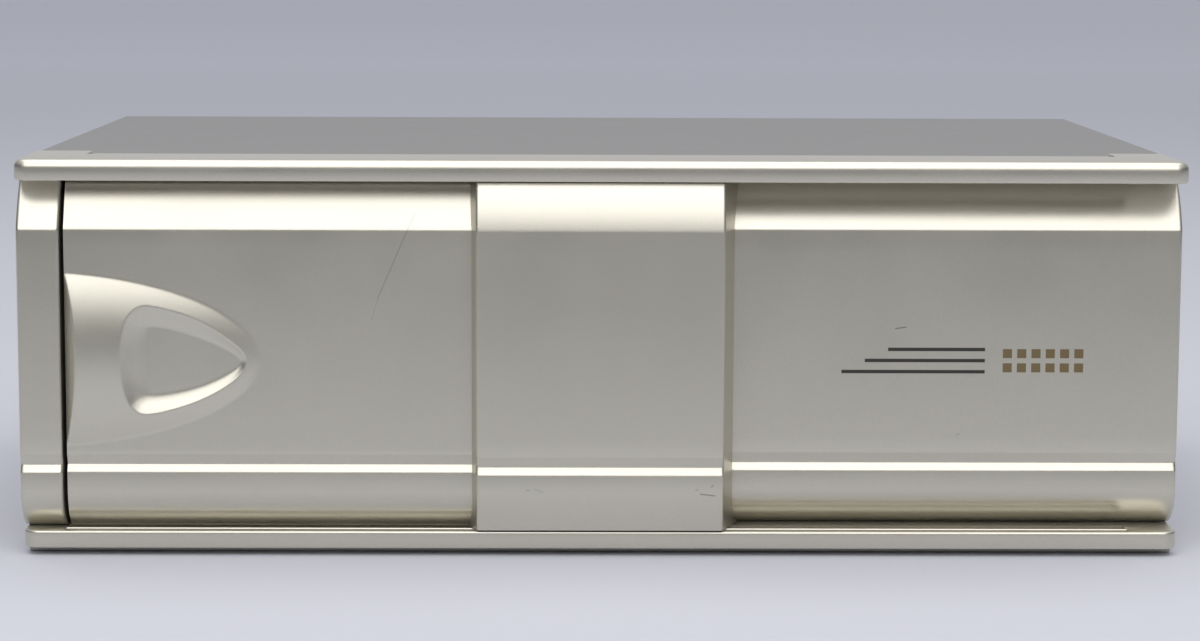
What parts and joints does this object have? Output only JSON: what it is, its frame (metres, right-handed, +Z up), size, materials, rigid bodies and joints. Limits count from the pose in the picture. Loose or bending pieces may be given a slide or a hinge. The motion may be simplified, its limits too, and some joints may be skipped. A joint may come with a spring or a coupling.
{
  "type": "cd magazine changer",
  "caption": "Flat car disc changer with telescoping sliding doors on a moulded front, a magazine of disc trays, and a lift-and-play drive in a sheet-steel case.",
  "frame": {"origin": "centre of the base, at the bottom", "axes": "+X to the right seen from the front (the doors open that way), the front faces -Y, +Z up"},
  "size_m": [0.3, 0.19, 0.102],
  "materials": {
    "silver_moulding": "satin metallic paint",
    "cover_steel": "satin paint",
    "zinc_steel": "plain zinc-plated sheet",
    "black_plastic": "fine texture",
    "grey_plastic": "fine texture",
    "white_plastic": "smooth",
    "rubber": "matte",
    "screws": "zinc",
    "polished_steel": "ground",
    "brass": "turned",
    "circuit_board": "lacquered",
    "motor_steel": "plain",
    "lens": "clear"
  },
  "bodies": {
    "case": {"bottom_chassis": "zinc_steel", "bay_wall": "zinc_steel", "rear_panel": "zinc_steel", "top_cover": "cover_steel", "upper_front_rail": "silver_moulding", "lower_front_rail": "silver_moulding", "left_end_cap": "silver_moulding", "right_panel": "silver_moulding", "bay_bezel": "black_plastic", "switch_board": "circuit_board", "main_board": "circuit_board", "cable_socket": "black_plastic", "cover_screws": "screws", "panel_screws": "screws", "transport_screws": "screws", "mechanism_frame": "zinc_steel", "mechanism_top": "zinc_steel", "magazine_guides": "black_plastic", "rubber_dampers": "rubber", "suspension_springs": "polished_steel", "guide_rods": "polished_steel", "lift_motor": "motor_steel"},
    "outer_door": {"outer_door": "silver_moulding"},
    "inner_door": {"inner_door": "silver_moulding"},
    "eject_button": {"eject_button": "silver_moulding"},
    "magazine": {"magazine_case": "black_plastic", "magazine_lid": "grey_plastic", "tray_02": "grey_plastic", "tray_03": "grey_plastic", "tray_04": "grey_plastic", "tray_05": "grey_plastic", "tray_06": "grey_plastic", "tray_07": "grey_plastic", "tray_08": "grey_plastic", "tray_09": "grey_plastic", "tray_10": "grey_plastic", "tray_11": "grey_plastic", "tray_12": "grey_plastic"},
    "first_tray": {"tray_01": "grey_plastic"},
    "ejector": {"ejector": "zinc_steel"},
    "left_dial": {"left_dial": "white_plastic"},
    "right_dial": {"right_dial": "white_plastic"},
    "lift_screw": {"lift_screw": "brass", "lift_gear": "white_plastic"},
    "lift_pinion": {"lift_pinion": "white_plastic"},
    "drive_unit": {"drive_carriage": "black_plastic", "spindle_motor": "motor_steel", "sled_rods": "polished_steel", "sled_motor": "motor_steel", "loading_motor": "motor_steel", "loading_belt": "rubber"},
    "turntable": {"turntable": "grey_plastic"},
    "clamp_arm": {"clamp_arm": "zinc_steel"},
    "clamp_puck": {"clamp_puck": "white_plastic"},
    "pickup": {"pickup_sled": "black_plastic", "pickup_lens": "lens"},
    "sled_screw": {"sled_screw": "polished_steel"},
    "loading_hook": {"loading_hook": "white_plastic"},
    "drive_pulley": {"drive_pulley": "white_plastic"},
    "idler_pulley": {"idler_pulley": "white_plastic"}
  },
  "joints": [
    {"name": "outer_door_slide", "type": "slide", "parent": "case", "child": "outer_door", "axis": [1, 0, 0], "range_m": [0, 0.1044]},
    {"name": "inner_door_slide", "type": "slide", "parent": "outer_door", "child": "inner_door", "axis": [1, 0, 0], "range_m": [0, 0.0486]},
    {"name": "eject_press", "type": "slide", "parent": "case", "child": "eject_button", "axis": [0, 1, 0], "range_m": [0, 0.001], "stiffness_N_per_m": 1500},
    {"name": "magazine_eject", "type": "slide", "parent": "case", "child": "magazine", "axis": [0, -1, 0], "range_m": [0, 0.005]},
    {"name": "ejector_slide", "type": "slide", "parent": "case", "child": "ejector", "axis": [0, -1, 0], "range_m": [0, 0.005]},
    {"name": "first_tray_slide", "type": "slide", "parent": "magazine", "child": "first_tray", "axis": [1, 0, 0], "range_m": [0, 0.132]},
    {"name": "hook_slide", "type": "slide", "parent": "drive_unit", "child": "loading_hook", "axis": [1, 0, 0], "range_m": [0, 0.132]},
    {"name": "drive_pulley_turn", "type": "hinge", "parent": "drive_unit", "child": "drive_pulley", "pos_m": [0.00559, 0.0652, 0.015], "axis": [0, 0, 1], "range_deg": [0, 2166]},
    {"name": "idler_pulley_turn", "type": "hinge", "parent": "drive_unit", "child": "idler_pulley", "pos_m": [0.13541, 0.0652, 0.015], "axis": [0, 0, 1], "range_deg": [0, 2166]},
    {"name": "drive_lift", "type": "slide", "parent": "case", "child": "drive_unit", "axis": [0, 0, 1], "range_m": [0, 0.0616]},
    {"name": "lift_screw_turn", "type": "hinge", "parent": "case", "child": "lift_screw", "pos_m": [0.108, 0.076, 0.05], "axis": [0, 0, 1], "range_deg": [0, 1981]},
    {"name": "lift_pinion_turn", "type": "hinge", "parent": "case", "child": "lift_pinion", "pos_m": [0.08996, 0.08257, 0.006], "axis": [0, 0, 1], "range_deg": [-5942, 0]},
    {"name": "spindle_spin", "type": "hinge", "parent": "drive_unit", "child": "turntable", "pos_m": [0.067, -0.008, 0.018], "axis": [0, 0, 1], "continuous": true},
    {"name": "clamp_arm_tilt", "type": "hinge", "parent": "drive_unit", "child": "clamp_arm", "pos_m": [0.067, 0.0735, 0.0264], "axis": [1, 0, 0], "range_deg": [0, 2.5]},
    {"name": "clamp_puck_spin", "type": "hinge", "parent": "clamp_arm", "child": "clamp_puck", "pos_m": [0.067, -0.008, 0.025], "axis": [0, 0, 1], "continuous": true},
    {"name": "pickup_slide", "type": "slide", "parent": "drive_unit", "child": "pickup", "axis": [1, 0, 0], "range_m": [0, 0.029]},
    {"name": "sled_screw_turn", "type": "hinge", "parent": "drive_unit", "child": "sled_screw", "pos_m": [0.1, -0.038, 0.0152], "axis": [1, 0, 0], "range_deg": [0, 3481]},
    {"name": "left_dial_turn", "type": "hinge", "parent": "case", "child": "left_dial", "pos_m": [-0.1477, 0.04, 0.058], "axis": [1, 0, 0], "range_deg": [0, 90]},
    {"name": "right_dial_turn", "type": "hinge", "parent": "case", "child": "right_dial", "pos_m": [0.1477, 0.04, 0.058], "axis": [1, 0, 0], "range_deg": [0, 90]}
  ],
  "couplings": [
    {"joint": "ejector_slide", "follows": "magazine_eject", "ratio": 1},
    {"joint": "hook_slide", "follows": "first_tray_slide", "ratio": 1},
    {"joint": "drive_pulley_turn", "follows": "first_tray_slide", "rad_per_m": 286.29},
    {"joint": "idler_pulley_turn", "follows": "first_tray_slide", "rad_per_m": 286.29},
    {"joint": "lift_screw_turn", "follows": "drive_lift", "rad_per_m": 561},
    {"joint": "lift_pinion_turn", "follows": "drive_lift", "rad_per_m": -1683},
    {"joint": "clamp_puck_spin", "follows": "spindle_spin", "ratio": 1},
    {"joint": "sled_screw_turn", "follows": "pickup_slide", "rad_per_m": 2094.4}
  ]
}
